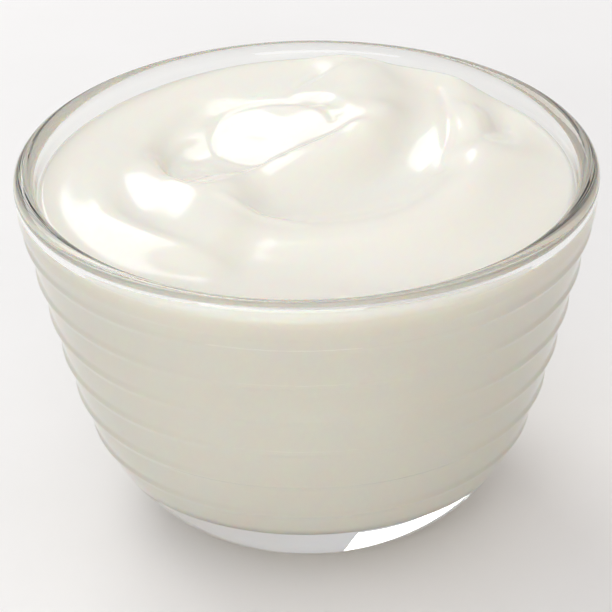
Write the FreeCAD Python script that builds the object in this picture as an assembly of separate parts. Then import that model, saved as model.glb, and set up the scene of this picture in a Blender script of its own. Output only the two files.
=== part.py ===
"""Small ribbed glass bowl filled with stirred yogurt.

Millimetres, +Z up. The origin is on the bowl's axis, at the underside of its foot.
The glass is turned about Z; the yogurt fills its inside face to face, up to a top
surface of soft folds left by a spoon.
"""
import FreeCAD, Part
import math
import os

V = FreeCAD.Vector

# Bowl, outside
rim_radius = 52.5          # widest circle, at the middle of the rounded rim
bowl_height = 66.5         # foot to rim top
rim_thickness = 3.7        # the fire-polished lip
side_spread = 0.4          # the plain side, carried up to the rim's middle, is this much wider
side_lean = 0.254          # inward run of the side for each millimetre down
tuck_height = 9.65         # above the foot, where the side has turned in by tuck_in
tuck_in = 3.3
tuck_power = 7.2           # how suddenly the side turns in near the foot
heel_height = 3.0          # where the side runs into the arc of the heel

# Collar and ribs, raised on the outside
collar_depth = 4.7         # straight band below the rim's middle
collar_step = 0.35
collar_fade = 1.2          # height over which the collar rounds back to the side
rib_count = 6
first_rib_depth = 8.2      # below the rim's middle
last_rib_height = 17.15    # above the foot
rib_width = 3.2
rib_raise = 0.42

# Bowl, inside
wall = 4.0                 # side wall, between ribs
floor_thickness = 10.8
corner_height = 2.0        # height of the arc between floor and inner side

# Yogurt
fill_depth = 2.0           # yogurt's edge below the rim's middle
back_swell = 1.9           # how much higher the edge stands at the back
back_swell_spread = 38.0   # degrees of the rim over which it dies away
grid_steps = 56            # spans of the top surface along X and along Y

# Folds of the top, laid out for a top of plan_radius and scaled to the real one: an arc
# through three points, the height near each of the three, and how far the fold fades away
# towards the arc's centre (inner) and away from it (outer).
plan_radius = 48.4
fade_power = 2.4           # 2 is a bell; more makes a flatter crest and steeper sides
end_fade = 3.2             # how fast one height turns into the next along the arc
folds = [
    # start, through, end, heights, inner, outer
    ((14, 32), (13, 22), (6, 12), (2.1, 3.6, 1.0), 15.0, 6.0),             # crest of the curl
    ((9, 15), (-4, 6.5), (-21, 0.3), (1.5, 1.7, 0.8), 2.5, 6.0),           # front of the curl
    ((-20, 27), (-24, 14), (-19.5, 3), (-0.8, -2.5, -1.7), 12.0, 4.0),     # dish of the curl
    ((-22, 6), (-15, -8), (-18, -22), (1.6, 2.6, 2.0), 13.0, 6.0),         # lip left of the scoop
    ((-15, -8), (-9, -13.5), (-1, -17.5), (0.1, 0.4, 0.1), 1.3, 1.3),      # edge of the scoop
    ((-4, -20), (24, -13), (33, 5), (1.3, 2.0, 1.8), 8.0, 8.5),            # sweep round the scoop
    ((30, -4), (34, 7), (36, 19), (0.1, 0.8, 0.8), 11.0, 7.0),             # the sweep's far end
    ((26.5, 38), (29.5, 18), (28.5, -2), (1.8, 2.5, 0.8), 14.0, 5.0),      # second lobe
    ((-35, 16), (-37, -7), (-17, -31), (0.0, 1.3, 0.9), 3.5, 4.4),         # left stroke
    ((8, 47), (12, 41), (14, 34), (1.0, 1.2, 0.4), 6.5, 4.0),              # peak at the back
    ((18, 34), (15.5, 4), (-8, -9), (-1.4, -2.2, -0.5), 6.0, 12.0),        # scoop beside the curl
    ((-18, -32), (4, -32), (26, -34), (-0.3, -0.9, -0.2), 8.0, 8.0),       # front hollow
    ((-22, 18), (-24.5, 9), (-21.5, 0), (-0.2, -1.3, -0.9), 5.5, 1.6),     # crease left of the curl
    ((-4, 31), (2, 29), (6, 22), (0, -0.9, -0.3), 1.6, 1.6),               # crease behind the curl
    ((31, 30), (35.5, 20.5), (31, 11), (-0.2, -1.1, -0.2), 2.6, 3.6),      # crease of the second lobe
]

rim_middle = bowl_height - rim_thickness / 2.0
lip_radius = rim_radius - rim_thickness / 2.0
side_radius = rim_radius + side_spread
tuck_depth = rim_middle - tuck_height
rib_pitch = (rim_middle - first_rib_depth - last_rib_height) / (rib_count - 1)


def side(z):
    """Radius of the plain outer side at height z."""
    depth = rim_middle - z
    return side_radius - side_lean * depth - tuck_in * (depth / tuck_depth) ** tuck_power


def cavity(z):
    """Radius of the inner side at height z."""
    return side(z) - wall


def slope(curve, z, step=0.01):
    return (curve(z + step) - curve(z - step)) / (2.0 * step)


def point(radius, z):
    return V(radius, 0.0, z)


def arc(a, b, c):
    return Part.Arc(point(*a), point(*b), point(*c)).toShape()


def curve_edge(curve, z_from, z_to, spans):
    """Smooth edge along a radius curve, from one height to another."""
    heights = [z_from + (z_to - z_from) * i / spans for i in range(spans + 1)]
    line = Part.BSplineCurve()
    line.interpolate([point(curve(z), z) for z in heights])
    return line.toShape()


def floor_arc(curve, z_start, z_floor):
    """Arc that leaves a radius curve at z_start in line with it and lands flat on z_floor.

    Returns the edge and the radius where it lands."""
    turn = math.atan2(1.0, slope(curve, z_start))
    radius = (z_start - z_floor) / (1.0 - math.cos(turn))
    landing = curve(z_start) - radius * math.sin(turn)
    centre_z = z_floor + radius
    middle = (landing + radius * math.sin(turn / 2.0), centre_z - radius * math.cos(turn / 2.0))
    return arc((curve(z_start), z_start), middle, (landing, z_floor)), landing


def rib_edge(z):
    """Outside of one rib centred at height z, from its upper to its lower foot."""
    upper = z + rib_width / 2.0
    lower = z - rib_width / 2.0
    return arc((side(upper), upper), (side(z) + rib_raise, z), (side(lower), lower))


def outer_edges():
    """Outside of the glass from the rim's middle down to the foot's flat."""
    collar_low = rim_middle - collar_depth
    collar_foot = collar_low - collar_fade
    collar_radius = side(collar_low) + collar_step
    edges = [Part.makeLine(point(rim_radius, rim_middle), point(collar_radius, collar_low))]
    swell = (side(collar_low - collar_fade / 2.0) + collar_step * 0.7, collar_low - collar_fade / 2.0)
    edges.append(arc((collar_radius, collar_low), swell, (side(collar_foot), collar_foot)))
    z = collar_foot
    for i in range(rib_count):
        rib_z = rim_middle - first_rib_depth - rib_pitch * i
        edges.append(curve_edge(side, z, rib_z + rib_width / 2.0, 3))
        edges.append(rib_edge(rib_z))
        z = rib_z - rib_width / 2.0
    edges.append(curve_edge(side, z, heel_height, 8))
    heel, foot_radius = floor_arc(side, heel_height, 0.0)
    edges.append(heel)
    return edges, foot_radius


def inner_edges():
    """Inside of the glass from the rim's inner edge down to the floor's flat."""
    corner = floor_thickness + corner_height
    blend = rim_middle - rim_thickness
    top = point(lip_radius - rim_thickness / 2.0, rim_middle)
    edges = [Part.makeLine(top, point(cavity(blend), blend)), curve_edge(cavity, blend, corner, 14)]
    arc_edge, floor_radius = floor_arc(cavity, corner, floor_thickness)
    edges.append(arc_edge)
    return edges, floor_radius


def turned(edges):
    face = Part.Face(Part.Wire(Part.sortEdges(edges)[0]))
    return face.revolve(V(0, 0, 0), V(0, 0, 1), 360.0)


def glass_bowl():
    outside, foot_radius = outer_edges()
    inside, floor_radius = inner_edges()
    half = rim_thickness / 2.0
    crown = (lip_radius, bowl_height)
    reach = half * math.sqrt(0.5)
    lip = [arc((lip_radius + way * half, rim_middle), (lip_radius + way * reach, rim_middle + reach), crown)
           for way in (-1, 1)]
    foot = Part.makeLine(point(foot_radius, 0), point(0, 0))
    axis = Part.makeLine(point(0, 0), point(0, floor_thickness))
    floor = Part.makeLine(point(0, floor_thickness), point(floor_radius, floor_thickness))
    return turned(outside + [foot, axis, floor] + inside + lip)


def arc_through(a, b, c):
    """Centre, radius, start direction and turn of the arc a, b, c in the plane."""
    bx, by, cx, cy = b[0] - a[0], b[1] - a[1], c[0] - a[0], c[1] - a[1]
    cross = 2.0 * (bx * cy - by * cx)
    b2, c2 = bx * bx + by * by, cx * cx + cy * cy
    ux, uy = (cy * b2 - by * c2) / cross, (bx * c2 - cx * b2) / cross
    centre = (a[0] + ux, a[1] + uy)
    start = math.atan2(-uy, -ux)
    end = math.atan2(c[1] - centre[1], c[0] - centre[0])
    full = 2.0 * math.pi
    turn = (end - start) % full if cross > 0 else -((start - end) % full)
    return centre, math.hypot(ux, uy), start, turn


def fold_height(x, y, fold):
    """Height that one fold adds at (x, y) of the plan."""
    start, through, end, heights, inner, outer = fold
    centre, radius, first, turn = arc_through(start, through, end)
    dx, dy = x - centre[0], y - centre[1]
    away = math.hypot(dx, dy) - radius
    swept = math.atan2(dy, dx) - first
    swept = swept % (2.0 * math.pi) if turn > 0 else (-swept) % (2.0 * math.pi)
    ends = min(math.hypot(x - p[0], y - p[1]) for p in (start, end))
    distance = abs(away) if swept <= abs(turn) else ends
    side_share = 0.5 * (1.0 + away / math.hypot(distance, 1.0))
    reach = inner + (outer - inner) * side_share
    run_x, run_y = end[0] - start[0], end[1] - start[1]
    along = ((x - start[0]) * run_x + (y - start[1]) * run_y) / (run_x ** 2 + run_y ** 2)
    t = 0.5 + 0.5 * math.tanh(end_fade * (along - 0.5))
    height = heights[0] * (1.0 - t) * (1.0 - 2.0 * t) + 4.0 * heights[1] * t * (1.0 - t)
    height += heights[2] * t * (2.0 * t - 1.0)
    return height * math.exp(-(distance / reach) ** fade_power)


def yogurt_top(x, y):
    """Height of the yogurt's surface at (x, y)."""
    level = rim_middle - fill_depth
    scale = cavity(level) / plan_radius
    from_back = abs(math.degrees(math.atan2(x, y)))
    share = min(1.0, math.hypot(x, y) / lip_radius) ** 2
    swell = back_swell * share * math.exp(-(from_back / back_swell_spread) ** 2)
    return level + swell + scale * sum(fold_height(x / scale, y / scale, fold) for fold in folds)


def yogurt():
    """What fills the bowl: the turned cavity, cut off by the folded top surface."""
    reach = rim_radius + 1.0
    steps = [-reach + 2.0 * reach * i / grid_steps for i in range(grid_steps + 1)]
    grid = [[V(x, y, yogurt_top(x, y)) for y in steps] for x in steps]
    top = Part.BSplineSurface()
    top.interpolate(grid)
    below_top = top.toShape().extrude(V(0, 0, -2.0 * bowl_height))
    inside, floor_radius = inner_edges()
    above = bowl_height + 5.0
    rim_inner = point(lip_radius - rim_thickness / 2.0, rim_middle)
    edges = inside + [
        Part.makeLine(rim_inner, point(rim_inner.x, above)),
        Part.makeLine(point(rim_inner.x, above), point(0, above)),
        Part.makeLine(point(0, above), point(0, floor_thickness)),
        Part.makeLine(point(0, floor_thickness), point(floor_radius, floor_thickness)),
    ]
    return turned(edges).common(below_top)


def write(name, shape):
    solid = shape.Solids[0] if len(shape.Solids) == 1 else shape
    solid.exportStep("parts/" + name + ".step")
    box = solid.BoundBox
    print(name, solid.isValid(), round(solid.Volume / 1000.0, 1), "cm3", len(shape.Solids), "solid",
          [round(v, 2) for v in (box.XMin, box.XMax, box.YMin, box.YMax, box.ZMin, box.ZMax)])


os.makedirs("parts", exist_ok=True)
write("glass_bowl", glass_bowl())
write("yogurt", yogurt())
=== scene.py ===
"""Small ribbed glass bowl filled with stirred yogurt: its looks, on a pale table."""
import math

import bmesh
import bpy
import numpy as np
from bpy.props import FloatProperty, IntProperty, PointerProperty
from mathutils import Euler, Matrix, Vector


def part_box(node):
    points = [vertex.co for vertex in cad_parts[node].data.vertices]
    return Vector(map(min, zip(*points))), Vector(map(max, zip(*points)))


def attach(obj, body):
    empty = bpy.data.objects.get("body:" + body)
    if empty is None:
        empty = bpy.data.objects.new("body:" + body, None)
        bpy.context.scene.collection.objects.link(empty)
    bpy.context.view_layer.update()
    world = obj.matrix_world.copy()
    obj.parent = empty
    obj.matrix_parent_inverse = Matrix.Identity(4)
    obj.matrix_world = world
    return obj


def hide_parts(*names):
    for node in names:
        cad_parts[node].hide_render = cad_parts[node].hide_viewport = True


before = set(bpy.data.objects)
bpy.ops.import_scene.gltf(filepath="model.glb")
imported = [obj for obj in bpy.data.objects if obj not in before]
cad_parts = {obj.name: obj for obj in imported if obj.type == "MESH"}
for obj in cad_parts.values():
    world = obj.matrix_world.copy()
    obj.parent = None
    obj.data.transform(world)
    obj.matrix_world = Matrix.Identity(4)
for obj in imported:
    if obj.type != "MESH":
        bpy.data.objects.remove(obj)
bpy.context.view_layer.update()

bl_info = {
    "name": "Glass bowl of yogurt",
    "version": (1, 0, 0),
    "blender": (4, 5, 0),
    "location": "3D View > Sidebar > Yogurt bowl",
    "description": "Builds a ribbed glass bowl, its stirred yogurt and a table to show them on",
    "category": "Object",
}

MM = 0.001
BODY = "root"
GLASS_LOW, GLASS_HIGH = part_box("glass_bowl")
WINDOW_SIZE, WINDOW_DISTANCE = (0.85, 0.66), 1.3          # metres
REFLECTOR_SIZE, REFLECTOR_DISTANCE = (1.6, 0.8), 1.4      # metres
BRIGHT_SIDE = (-0.45, 0.15, 0.88)                         # where the room is brightest
TABLE_HALF, TABLE_DROP = 4.0, 0.00005                     # metres; the drop keeps faces apart

# Folds of the top, in millimetres, laid out for a top of PLAN_RADIUS: an arc through three
# points, the height near each of the three, and how far the fold fades away towards the
# arc's centre (inner) and away from it (outer).
PLAN_RADIUS = 48.4
FADE_POWER = 2.4
END_FADE = 3.2
FOLDS = (
    ((14, 32), (13, 22), (6, 12), (2.1, 3.6, 1.0), 15.0, 6.0),             # crest of the curl
    ((9, 15), (-4, 6.5), (-21, 0.3), (1.5, 1.7, 0.8), 2.5, 6.0),           # front of the curl
    ((-20, 27), (-24, 14), (-19.5, 3), (-0.8, -2.5, -1.7), 12.0, 4.0),     # dish of the curl
    ((-22, 6), (-15, -8), (-18, -22), (1.6, 2.6, 2.0), 13.0, 6.0),         # lip left of the scoop
    ((-15, -8), (-9, -13.5), (-1, -17.5), (0.1, 0.4, 0.1), 1.3, 1.3),      # edge of the scoop
    ((-4, -20), (24, -13), (33, 5), (1.3, 2.0, 1.8), 8.0, 8.5),            # sweep round the scoop
    ((30, -4), (34, 7), (36, 19), (0.1, 0.8, 0.8), 11.0, 7.0),             # the sweep's far end
    ((26.5, 38), (29.5, 18), (28.5, -2), (1.8, 2.5, 0.8), 14.0, 5.0),      # second lobe
    ((-35, 16), (-37, -7), (-17, -31), (0.0, 1.3, 0.9), 3.5, 4.4),         # left stroke
    ((8, 47), (12, 41), (14, 34), (1.0, 1.2, 0.4), 6.5, 4.0),              # peak at the back
    ((18, 34), (15.5, 4), (-8, -9), (-1.4, -2.2, -0.5), 6.0, 12.0),        # scoop beside the curl
    ((-18, -32), (4, -32), (26, -34), (-0.3, -0.9, -0.2), 8.0, 8.0),       # front hollow
    ((-22, 18), (-24.5, 9), (-21.5, 0), (-0.2, -1.3, -0.9), 5.5, 1.6),     # crease left of the curl
    ((-4, 31), (2, 29), (6, 22), (0, -0.9, -0.3), 1.6, 1.6),               # crease behind the curl
    ((31, 30), (35.5, 20.5), (31, 11), (-0.2, -1.1, -0.2), 2.6, 3.6),      # crease of the second lobe
    ((-15, 28), (-15, 14), (-4, 8), (-0.1, -0.3, -0.1), 0.9, 0.9),         # stroke line in the dish
    ((-20, 8), (-15, 4.5), (-8, 6), (-0.1, -0.3, -0.1), 0.9, 0.9),         # second stroke line
    ((-18, 26), (-7, 30.5), (5, 20), (-0.1, -0.25, -0.3), 0.9, 0.9),       # stroke line behind the dish
    ((24.5, 34), (26, 18), (24, 3), (-0.1, -0.3, -0.1), 1.2, 1.2),         # stroke line in the second lobe
    ((-3, 33), (1, 38.5), (7, 44), (-0.1, -0.3, -0.1), 1.0, 1.0),          # stroke line at the back
)


# ---------------------------------------------------------------- settings

class GlassSettings(bpy.types.PropertyGroup):
    rim_thickness: FloatProperty(name="Rim thickness", description="Fire-polished lip, mm", default=3.7)
    side_spread: FloatProperty(name="Side spread",
                               description="Side carried to the rim is wider by, mm", default=0.4)
    side_lean: FloatProperty(name="Side lean",
                             description="Inward run per millimetre down", default=0.254)
    tuck_in: FloatProperty(name="Tuck in",
                           description="Extra inward run at the tuck's height, mm", default=3.3)
    tuck_height: FloatProperty(name="Tuck height", description="Above the foot, mm", default=9.65)
    tuck_power: FloatProperty(name="Tuck power",
                              description="How suddenly the side turns in", default=7.2)
    heel_height: FloatProperty(name="Heel height",
                               description="Where the heel's arc starts, mm", default=3.0)
    collar_depth: FloatProperty(name="Collar depth",
                                description="Band below the rim's middle, mm", default=4.7)
    collar_step: FloatProperty(name="Collar step",
                               description="Collar stands proud by, mm", default=0.35)
    collar_fade: FloatProperty(name="Collar fade",
                               description="Height of the collar's rounding, mm", default=0.8)
    rib_count: IntProperty(name="Ribs", description="Raised rings round the side", default=6)
    first_rib_depth: FloatProperty(name="First rib",
                                   description="Below the rim's middle, mm", default=8.2)
    last_rib_height: FloatProperty(name="Last rib", description="Above the foot, mm", default=17.15)
    rib_width: FloatProperty(name="Rib width", description="Foot to foot, mm", default=2.2)
    rib_raise: FloatProperty(name="Rib height", description="Ribs stand proud by, mm", default=0.5)
    wall: FloatProperty(name="Wall", description="Side wall between ribs, mm", default=4.0)
    floor_thickness: FloatProperty(name="Floor", description="Glass under the yogurt, mm", default=10.8)
    corner_height: FloatProperty(name="Corner height",
                                 description="Arc from floor to side, mm", default=2.0)
    segments: IntProperty(name="Segments", description="Steps round the bowl", default=256)


class YogurtSettings(bpy.types.PropertyGroup):
    fill_depth: FloatProperty(name="Fill depth",
                              description="Edge below the rim's middle, mm", default=2.0)
    back_swell: FloatProperty(name="Back swell",
                              description="Extra height at the back, mm", default=1.9)
    swell_spread: FloatProperty(name="Swell spread",
                                description="Degrees of rim it fades over", default=38.0)
    edge_round: FloatProperty(name="Edge rounding",
                              description="Rounded edge at the glass, mm", default=1.1)
    bite: FloatProperty(name="Bite", description="How far it reaches into the glass, mm", default=0.08)
    rings: IntProperty(name="Rings", description="Steps from the middle to the edge", default=150)
    segments: IntProperty(name="Segments", description="Steps round the yogurt", default=384)


class StageSettings(bpy.types.PropertyGroup):
    elevation: FloatProperty(name="Camera elevation", description="Degrees above level", default=29.0)
    distance: FloatProperty(name="Camera distance", subtype="DISTANCE", default=0.8)
    lens: FloatProperty(name="Lens", description="Focal length, mm", default=258.5)
    roll: FloatProperty(name="Camera roll", description="Degrees", default=-1.15)
    aim_x: FloatProperty(name="Aim X", subtype="DISTANCE", default=-0.00055)
    aim_below_rim: FloatProperty(name="Aim below rim", subtype="DISTANCE", default=0.0272)
    window_side: FloatProperty(name="Window side", description="Degrees left of the back", default=30.0)
    window_height: FloatProperty(name="Window height", description="Degrees above level", default=40.0)
    window_power: FloatProperty(name="Window power", description="Watts", default=6.0)
    fill_side: FloatProperty(name="Reflector side",
                             description="Degrees left of the back", default=170.0)
    fill_height: FloatProperty(name="Reflector height", description="Degrees above level", default=15.0)
    fill_power: FloatProperty(name="Reflector power", description="Watts", default=11.5)
    room_strength: FloatProperty(name="Room light", description="Radiance overhead", default=0.76)


# ---------------------------------------------------------------- small helpers

def linear(hex_colour):
    """sRGB hex such as "F0F0EE" as linear red, green, blue and alpha."""
    parts = [int(hex_colour[i:i + 2], 16) / 255.0 for i in (0, 2, 4)]
    return tuple(p / 12.92 if p <= 0.04045 else ((p + 0.055) / 1.055) ** 2.4 for p in parts) + (1.0,)


def add_node(tree, kind, settings=None, inputs=None, links=None):
    """Adds a node; settings are its attributes, inputs its values, links its sources."""
    node = tree.nodes.new(kind)
    for key, value in (settings or {}).items():
        setattr(node, key, value)
    for key, value in (inputs or {}).items():
        node.inputs[key].default_value = value
    for key, source in (links or {}).items():
        tree.links.new(source, node.inputs[key])
    return node


def new_material(name):
    material = bpy.data.materials.new(name)
    material.use_nodes = True
    material.node_tree.nodes.clear()
    return material, material.node_tree


def mesh_object(name, bm, material):
    mesh = bpy.data.meshes.new(name)
    bm.to_mesh(mesh)
    bm.free()
    mesh.shade_smooth()
    piece = bpy.data.objects.new(name, mesh)
    bpy.context.scene.collection.objects.link(piece)
    piece.data.materials.append(material)
    return piece


def spun_bmesh(outline, segments, closed):
    """Turns an outline of (radius, height) in millimetres about Z into a shell."""
    bm = bmesh.new()
    verts = [bm.verts.new((radius * MM, 0.0, z * MM)) for radius, z in outline]
    pairs = list(zip(verts, verts[1:])) + ([(verts[-1], verts[0])] if closed else [])
    edges = [bm.edges.new(pair) for pair in pairs if max(v.co.x for v in pair) > 0.0]
    bmesh.ops.spin(bm, geom=verts + edges, cent=(0, 0, 0), axis=(0, 0, 1), dvec=(0, 0, 0),
                   angle=2.0 * math.pi, steps=segments, use_merge=True)
    bmesh.ops.remove_doubles(bm, verts=bm.verts, dist=1e-7)
    bmesh.ops.recalc_face_normals(bm, faces=bm.faces)
    return bm


# ---------------------------------------------------------------- the bowl's outline

class Outline:
    """The bowl's section, in millimetres, from the settings and the frame."""

    def __init__(self, sizes):
        self.sizes = sizes
        self.rim_radius = GLASS_HIGH[0] / MM
        self.height = GLASS_HIGH[2] / MM
        self.rim_middle = self.height - sizes.rim_thickness / 2.0
        self.lip_radius = self.rim_radius - sizes.rim_thickness / 2.0
        self.side_radius = self.rim_radius + sizes.side_spread
        self.tuck_depth = self.rim_middle - sizes.tuck_height
        rib_run = self.rim_middle - sizes.first_rib_depth - sizes.last_rib_height
        self.rib_pitch = rib_run / (sizes.rib_count - 1)

    def side(self, z):
        s = self.sizes
        depth = self.rim_middle - z
        tuck = s.tuck_in * (max(depth, 0.0) / self.tuck_depth) ** s.tuck_power
        return self.side_radius - s.side_lean * depth - tuck

    def cavity(self, z):
        return self.side(z) - self.sizes.wall

    def relief(self, z):
        """How far collar and ribs stand proud of the plain side at height z."""
        s = self.sizes
        depth = self.rim_middle - z
        for i in range(s.rib_count):
            off = (depth - s.first_rib_depth - self.rib_pitch * i) / (s.rib_width / 2.0)
            if abs(off) < 1.0:
                return s.rib_raise * math.cos(off * math.pi / 2.0) ** 2
        return 0.0

    def outer(self, z):
        s = self.sizes
        depth = self.rim_middle - z
        if depth >= s.collar_depth + s.collar_fade:
            return self.side(z) + self.relief(z)
        low = self.rim_middle - s.collar_depth
        proud = self.side(low) + s.collar_step
        if depth <= s.collar_depth:
            return self.rim_radius + (proud - self.rim_radius) * depth / s.collar_depth
        fade = (depth - s.collar_depth) / s.collar_fade
        return self.side(z) + s.collar_step * math.sqrt(max(0.0, 1.0 - fade ** 2))

    def floor_arc(self, curve, z_start, z_floor, steps):
        """Points of the arc that runs from a radius curve at z_start flat onto z_floor."""
        slope = (curve(z_start + 0.01) - curve(z_start - 0.01)) / 0.02
        turn = math.atan2(1.0, slope)
        radius = (z_start - z_floor) / (1.0 - math.cos(turn))
        landing = curve(z_start) - radius * math.sin(turn)
        angles = [turn * (1.0 - i / steps) for i in range(steps + 1)]
        return [(landing + radius * math.sin(a), z_floor + radius * (1.0 - math.cos(a)))
                for a in angles]

    def inner_points(self, top, step):
        """Inside of the glass from height top down to the middle of the floor."""
        s = self.sizes
        corner = s.floor_thickness + s.corner_height
        count = int((top - corner) / step)
        wall = [(self.cavity(z), z) for z in (top + (corner - top) * i / count for i in range(count))]
        arc = self.floor_arc(self.cavity, corner, s.floor_thickness, 14)
        middle = [(arc[-1][0] * (1.0 - i / 12.0), s.floor_thickness) for i in range(1, 13)]
        return wall + arc + middle

    def outer_points(self, step):
        s = self.sizes
        count = int((self.rim_middle - s.heel_height) / step)
        run = self.rim_middle - s.heel_height
        side = [(self.outer(z), z) for z in (self.rim_middle - run * i / count for i in range(count))]
        arc = self.floor_arc(self.side, s.heel_height, 0.0, 16)
        middle = [(arc[-1][0] * (1.0 - i / 10.0), 0.0) for i in range(1, 11)]
        return side + arc + middle

    def lip_points(self, steps):
        half = self.sizes.rim_thickness / 2.0
        angles = [math.pi * (1.0 - i / steps) for i in range(1, steps)]
        return [(self.lip_radius + half * math.cos(a), self.rim_middle + half * math.sin(a))
                for a in angles]

    def whole(self):
        """Outline of the glass: inner lip, over the rim, down to the foot and back up inside."""
        blend = self.rim_middle - self.sizes.rim_thickness
        inside = self.inner_points(blend, 0.9)
        inner_lip = (self.lip_radius - self.sizes.rim_thickness / 2.0, self.rim_middle)
        upper = [(inner_lip[0] + (inside[0][0] - inner_lip[0]) * i / 4.0,
                  inner_lip[1] + (inside[0][1] - inner_lip[1]) * i / 4.0) for i in range(4)]
        return [inner_lip] + self.lip_points(20) + self.outer_points(0.4) + (upper[1:] + inside)[::-1]


# ---------------------------------------------------------------- the yogurt's top

def arc_through(a, b, c):
    """Centre, radius, start direction and turn of the arc a, b, c."""
    bx, by, cx, cy = b[0] - a[0], b[1] - a[1], c[0] - a[0], c[1] - a[1]
    cross = 2.0 * (bx * cy - by * cx)
    b2, c2 = bx * bx + by * by, cx * cx + cy * cy
    ux, uy = (cy * b2 - by * c2) / cross, (bx * c2 - cx * b2) / cross
    centre = (a[0] + ux, a[1] + uy)
    start = math.atan2(-uy, -ux)
    end = math.atan2(c[1] - centre[1], c[0] - centre[0])
    full = 2.0 * math.pi
    turn = (end - start) % full if cross > 0 else -((start - end) % full)
    return centre, math.hypot(ux, uy), start, turn


def fold_height(x, y, fold):
    """Height in millimetres that one fold adds at points x, y (arrays, millimetres)."""
    start, through, end, heights, inner, outer = fold
    centre, radius, first, turn = arc_through(start, through, end)
    dx, dy = x - centre[0], y - centre[1]
    away = np.hypot(dx, dy) - radius
    swept = np.arctan2(dy, dx) - first
    swept = np.mod(swept, 2.0 * math.pi) if turn > 0 else np.mod(-swept, 2.0 * math.pi)
    ends = np.minimum(np.hypot(x - start[0], y - start[1]), np.hypot(x - end[0], y - end[1]))
    distance = np.where(swept <= abs(turn), np.abs(away), ends)
    reach = inner + (outer - inner) * 0.5 * (1.0 + away / np.hypot(distance, 1.0))
    run_x, run_y = end[0] - start[0], end[1] - start[1]
    along = ((x - start[0]) * run_x + (y - start[1]) * run_y) / (run_x ** 2 + run_y ** 2)
    t = 0.5 + 0.5 * np.tanh(END_FADE * (along - 0.5))
    height = heights[0] * (1.0 - t) * (1.0 - 2.0 * t) + 4.0 * heights[1] * t * (1.0 - t)
    height = height + heights[2] * t * (2.0 * t - 1.0)
    return height * np.exp(-(distance / reach) ** FADE_POWER)


def top_height(x, y, settings, outline):
    """Height of the yogurt's surface, millimetres, before its edge is rounded."""
    level = outline.rim_middle - settings.fill_depth
    scale = outline.cavity(level) / PLAN_RADIUS
    from_back = np.abs(np.degrees(np.arctan2(x, y)))
    share = np.minimum(1.0, np.hypot(x, y) / outline.lip_radius) ** 2
    height = level + settings.back_swell * share * np.exp(-(from_back / settings.swell_spread) ** 2)
    for fold in FOLDS:
        height = height + scale * fold_height(x / scale, y / scale, fold)
    return height


def yogurt_bmesh(settings, outline):
    """The filling: a turned blank whose top is pushed into folds and whose side follows the glass."""
    level = outline.rim_middle - settings.fill_depth
    edge = outline.cavity(level)
    top = [(edge * i / settings.rings, level) for i in range(settings.rings)]
    side = outline.inner_points(level, 1.4)
    bm = spun_bmesh(top + side, settings.segments, False)
    bm.verts.ensure_lookup_table()
    co = np.array([v.co[:] for v in bm.verts]) / MM
    x, y, z = co[:, 0], co[:, 1], co[:, 2]
    r = np.hypot(x, y)
    unit_x, unit_y = x / np.maximum(r, 1e-9), y / np.maximum(r, 1e-9)
    on_top = z > level - 1e-4
    # the edge all round, where the rounded shoulder of the yogurt meets the glass
    rim_x, rim_y = unit_x * edge, unit_y * edge
    rim_height = top_height(rim_x, rim_y, settings, outline) - settings.edge_round
    inside = (edge - r) / settings.edge_round
    shoulder = settings.edge_round * (1.0 - np.sqrt(1.0 - np.clip(1.0 - inside, 0.0, 1.0) ** 2))
    new_z = np.where(on_top, top_height(x, y, settings, outline) - shoulder, z)
    floor = outline.sizes.floor_thickness
    stretch = floor + (z - floor) * (rim_height - floor) / (level - floor)
    new_z = np.where(on_top, new_z, stretch)
    side_r = np.array([outline.cavity(h) for h in new_z])
    corner = floor + outline.sizes.corner_height
    follow = (new_z > corner) & (~on_top | (r > edge - 1e-4))
    scale = np.where(follow, (side_r + settings.bite) / np.maximum(r, 1e-9), 1.0)
    low = (new_z <= corner) & ~on_top
    new_z = np.where(low, z - settings.bite, new_z)
    for vert, px, py, pz in zip(bm.verts, x * scale, y * scale, new_z):
        vert.co = (px * MM, py * MM, pz * MM)
    bmesh.ops.recalc_face_normals(bm, faces=bm.faces)
    return bm


# ---------------------------------------------------------------- materials

def pressed_glass():
    """Pressed soda-lime glass: clear, faintly green where it is thick, slightly wavy skin."""
    material, tree = new_material("pressed soda-lime glass")
    place = add_node(tree, "ShaderNodeTexCoord")
    waves = add_node(tree, "ShaderNodeTexNoise", inputs={"Scale": 60.0, "Detail": 1.0},
                     links={"Vector": place.outputs["Object"]})
    skin = add_node(tree, "ShaderNodeBump", inputs={"Strength": 0.15, "Distance": 0.0002},
                    links={"Height": waves.outputs["Fac"]})
    shader = add_node(tree, "ShaderNodeBsdfPrincipled", links={"Normal": skin.outputs["Normal"]},
                      inputs={"Base Color": linear("FEFFFE"), "Roughness": 0.0, "IOR": 1.5,
                              "Transmission Weight": 1.0})
    add_node(tree, "ShaderNodeOutputMaterial", links={"Surface": shader.outputs["BSDF"]})
    return material


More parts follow.
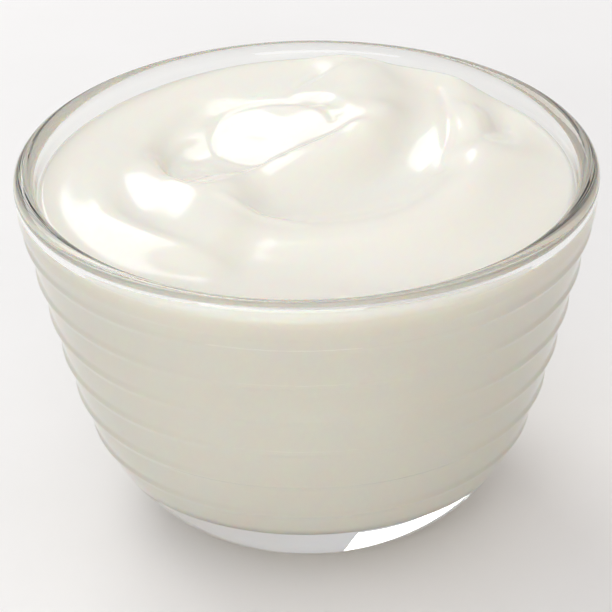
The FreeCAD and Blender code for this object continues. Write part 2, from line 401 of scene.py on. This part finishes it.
def stirred_yogurt():
    """Thick plain yogurt: milk-white, light bleeds a little way in, wet sheen."""
    material, tree = new_material("stirred plain yogurt")
    place = add_node(tree, "ShaderNodeTexCoord")
    cream = add_node(tree, "ShaderNodeTexNoise", inputs={"Scale": 45.0, "Detail": 3.0},
                     links={"Vector": place.outputs["Object"]})
    tint = add_node(tree, "ShaderNodeMix", settings={"data_type": "RGBA"},
                    inputs={6: linear("F9F0E3"), 7: linear("FCF5EA")}, links={0: cream.outputs["Fac"]})
    curd = add_node(tree, "ShaderNodeTexNoise", inputs={"Scale": 700.0, "Detail": 2.0},
                    links={"Vector": place.outputs["Object"]})
    skin = add_node(tree, "ShaderNodeBump", inputs={"Strength": 0.05, "Distance": 0.0001},
                    links={"Height": curd.outputs["Fac"]})
    shader = add_node(tree, "ShaderNodeBsdfPrincipled",
                      links={"Base Color": tint.outputs[2], "Normal": skin.outputs["Normal"]},
                      inputs={"Roughness": 0.12, "IOR": 1.4, "Subsurface Weight": 1.0,
                              "Subsurface Radius": (1.0, 0.7, 0.45), "Subsurface Scale": 0.003})
    add_node(tree, "ShaderNodeOutputMaterial", links={"Surface": shader.outputs["BSDF"]})
    return material


def pale_table():
    """Painted table top: off-white, matt."""
    material, tree = new_material("matt off-white table paint")
    place = add_node(tree, "ShaderNodeTexCoord")
    grain = add_node(tree, "ShaderNodeTexNoise", inputs={"Scale": 30.0, "Detail": 4.0},
                     links={"Vector": place.outputs["Object"]})
    tint = add_node(tree, "ShaderNodeMix", settings={"data_type": "RGBA"},
                    inputs={6: linear("F5F4F1"), 7: linear("FAF9F7")}, links={0: grain.outputs["Fac"]})
    shader = add_node(tree, "ShaderNodeBsdfPrincipled", links={"Base Color": tint.outputs[2]},
                      inputs={"Roughness": 0.7})
    add_node(tree, "ShaderNodeOutputMaterial", links={"Surface": shader.outputs["BSDF"]})
    return material


# ---------------------------------------------------------------- operators

class YOGURT_OT_glass_bowl(bpy.types.Operator):
    """Make the ribbed glass bowl in place of its CAD node"""
    bl_idname = "yogurt.glass_bowl"
    bl_label = "Glass bowl"

    def execute(self, context):
        settings = context.scene.yogurt_glass
        outline = Outline(settings)
        bm = spun_bmesh(outline.whole(), settings.segments, True)
        piece = mesh_object("ribbed_glass", bm, pressed_glass())
        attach(piece, BODY)
        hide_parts("glass_bowl")
        return {"FINISHED"}


class YOGURT_OT_filling(bpy.types.Operator):
    """Make the stirred yogurt in place of its CAD node"""
    bl_idname = "yogurt.filling"
    bl_label = "Yogurt"

    def execute(self, context):
        settings = context.scene.yogurt_filling
        outline = Outline(context.scene.yogurt_glass)
        piece = mesh_object("stirred_yogurt", yogurt_bmesh(settings, outline), stirred_yogurt())
        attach(piece, BODY)
        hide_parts("yogurt")
        return {"FINISHED"}


def area_light(name, place, target, size, power, colour):
    light = bpy.data.lights.new(name, "AREA")
    light.shape = "RECTANGLE"
    light.size, light.size_y = size
    light.energy = power
    light.color = linear(colour)[:3]
    lamp = bpy.data.objects.new(name, light)
    lamp.location = place
    lamp.rotation_euler = (Vector(target) - Vector(place)).to_track_quat("-Z", "Y").to_euler()
    bpy.context.scene.collection.objects.link(lamp)
    return lamp


def around(azimuth, elevation, distance, target):
    """A point seen from target at degrees left of +Y and above level."""
    a, e = math.radians(azimuth), math.radians(elevation)
    towards = Vector((-math.sin(a) * math.cos(e), math.cos(a) * math.cos(e), math.sin(e)))
    return Vector(target) + distance * towards


def soft_room(strength):
    """Pale room: cool and bright overhead and to the left, warmer and dimmer low down."""
    world = bpy.data.worlds.new("soft room")
    world.use_nodes = True
    world.node_tree.nodes.clear()
    tree = world.node_tree
    place = add_node(tree, "ShaderNodeTexCoord")
    towards = add_node(tree, "ShaderNodeVectorMath", settings={"operation": "DOT_PRODUCT"},
                       inputs={1: BRIGHT_SIDE}, links={0: place.outputs["Generated"]})
    level = add_node(tree, "ShaderNodeMapRange", links={"Value": towards.outputs["Value"]},
                     inputs={"From Min": -1.0, "From Max": 1.0, "To Min": 0.74, "To Max": 1.0})
    parts = add_node(tree, "ShaderNodeSeparateXYZ", links={"Vector": place.outputs["Generated"]})
    horizon = add_node(tree, "ShaderNodeMapRange", links={"Value": parts.outputs["Z"]},
                       inputs={"From Min": 0.0, "From Max": 0.2, "To Min": 0.65, "To Max": 1.0})
    both = add_node(tree, "ShaderNodeMath", settings={"operation": "MULTIPLY"},
                    links={0: level.outputs["Result"], 1: horizon.outputs["Result"]})
    scaled = add_node(tree, "ShaderNodeMath", settings={"operation": "MULTIPLY"},
                      inputs={1: strength}, links={0: both.outputs["Value"]})
    share = add_node(tree, "ShaderNodeMapRange", links={"Value": towards.outputs["Value"]},
                     inputs={"From Min": -0.6, "From Max": 0.9, "To Min": 0.0, "To Max": 1.0})
    tint = add_node(tree, "ShaderNodeMix", settings={"data_type": "RGBA"},
                    inputs={6: linear("F8EAD8"), 7: linear("F5F7FF")}, links={0: share.outputs["Result"]})
    sky = add_node(tree, "ShaderNodeBackground",
                   links={"Color": tint.outputs[2], "Strength": scaled.outputs["Value"]})
    add_node(tree, "ShaderNodeOutputWorld", links={"Surface": sky.outputs["Background"]})
    return world


class YOGURT_OT_stage(bpy.types.Operator):
    """Set the table, the soft lights and the camera"""
    bl_idname = "yogurt.stage"
    bl_label = "Table, lights and camera"

    def execute(self, context):
        scene = context.scene
        settings = scene.yogurt_stage
        bm = bmesh.new()
        bmesh.ops.create_grid(bm, x_segments=1, y_segments=1, size=TABLE_HALF)
        bmesh.ops.translate(bm, verts=bm.verts, vec=(0.0, 0.0, GLASS_LOW[2] - TABLE_DROP))
        table = mesh_object("table_top", bm, pale_table())

        target = (0.0, 0.0, GLASS_HIGH[2])
        window = around(settings.window_side, settings.window_height, WINDOW_DISTANCE, target)
        area_light("window", window, target, WINDOW_SIZE, settings.window_power, "F8F8F6")
        front = around(settings.fill_side, settings.fill_height, REFLECTOR_DISTANCE, target)
        area_light("reflector", front, target, REFLECTOR_SIZE, settings.fill_power, "FBFCFD")
        scene.world = soft_room(settings.room_strength)

        camera = bpy.data.cameras.new("camera")
        camera.lens = settings.lens
        camera.sensor_width = 36.0
        camera.clip_start = 0.01
        holder = bpy.data.objects.new("camera", camera)
        rim_middle = GLASS_HIGH[2] - scene.yogurt_glass.rim_thickness * MM / 2.0
        aim = Vector((settings.aim_x, 0.0, rim_middle - settings.aim_below_rim))
        holder.location = around(180.0, settings.elevation, settings.distance, aim)
        look = (aim - holder.location).to_track_quat("-Z", "Y")
        roll = Euler((0.0, 0.0, math.radians(settings.roll))).to_quaternion()
        holder.rotation_euler = (look @ roll).to_euler()
        scene.collection.objects.link(holder)
        scene.camera = holder
        scene.view_settings.view_transform = "Standard"
        return {"FINISHED"}


class YOGURT_PT_panel(bpy.types.Panel):
    """Lists the pieces"""
    bl_idname = "YOGURT_PT_panel"
    bl_label = "Yogurt bowl"
    bl_space_type = "VIEW_3D"
    bl_region_type = "UI"
    bl_category = "Yogurt bowl"

    def draw(self, context):
        for operator in OPERATORS:
            self.layout.operator(operator.bl_idname)
        for group in GROUPS:
            for name in GROUPS[group].__annotations__:
                self.layout.prop(getattr(context.scene, group), name)


GROUPS = {"yogurt_glass": GlassSettings, "yogurt_filling": YogurtSettings, "yogurt_stage": StageSettings}
OPERATORS = (YOGURT_OT_glass_bowl, YOGURT_OT_filling, YOGURT_OT_stage)
CLASSES = tuple(GROUPS.values()) + OPERATORS + (YOGURT_PT_panel,)


def register():
    for item in CLASSES:
        bpy.utils.register_class(item)
    for name, group in GROUPS.items():
        setattr(bpy.types.Scene, name, PointerProperty(type=group))


def unregister():
    for name in GROUPS:
        delattr(bpy.types.Scene, name)
    for item in reversed(CLASSES):
        bpy.utils.unregister_class(item)


def main():
    register()
    bpy.ops.yogurt.glass_bowl()
    bpy.ops.yogurt.filling()
    bpy.ops.yogurt.stage()


if __name__ == "__main__":
    main()
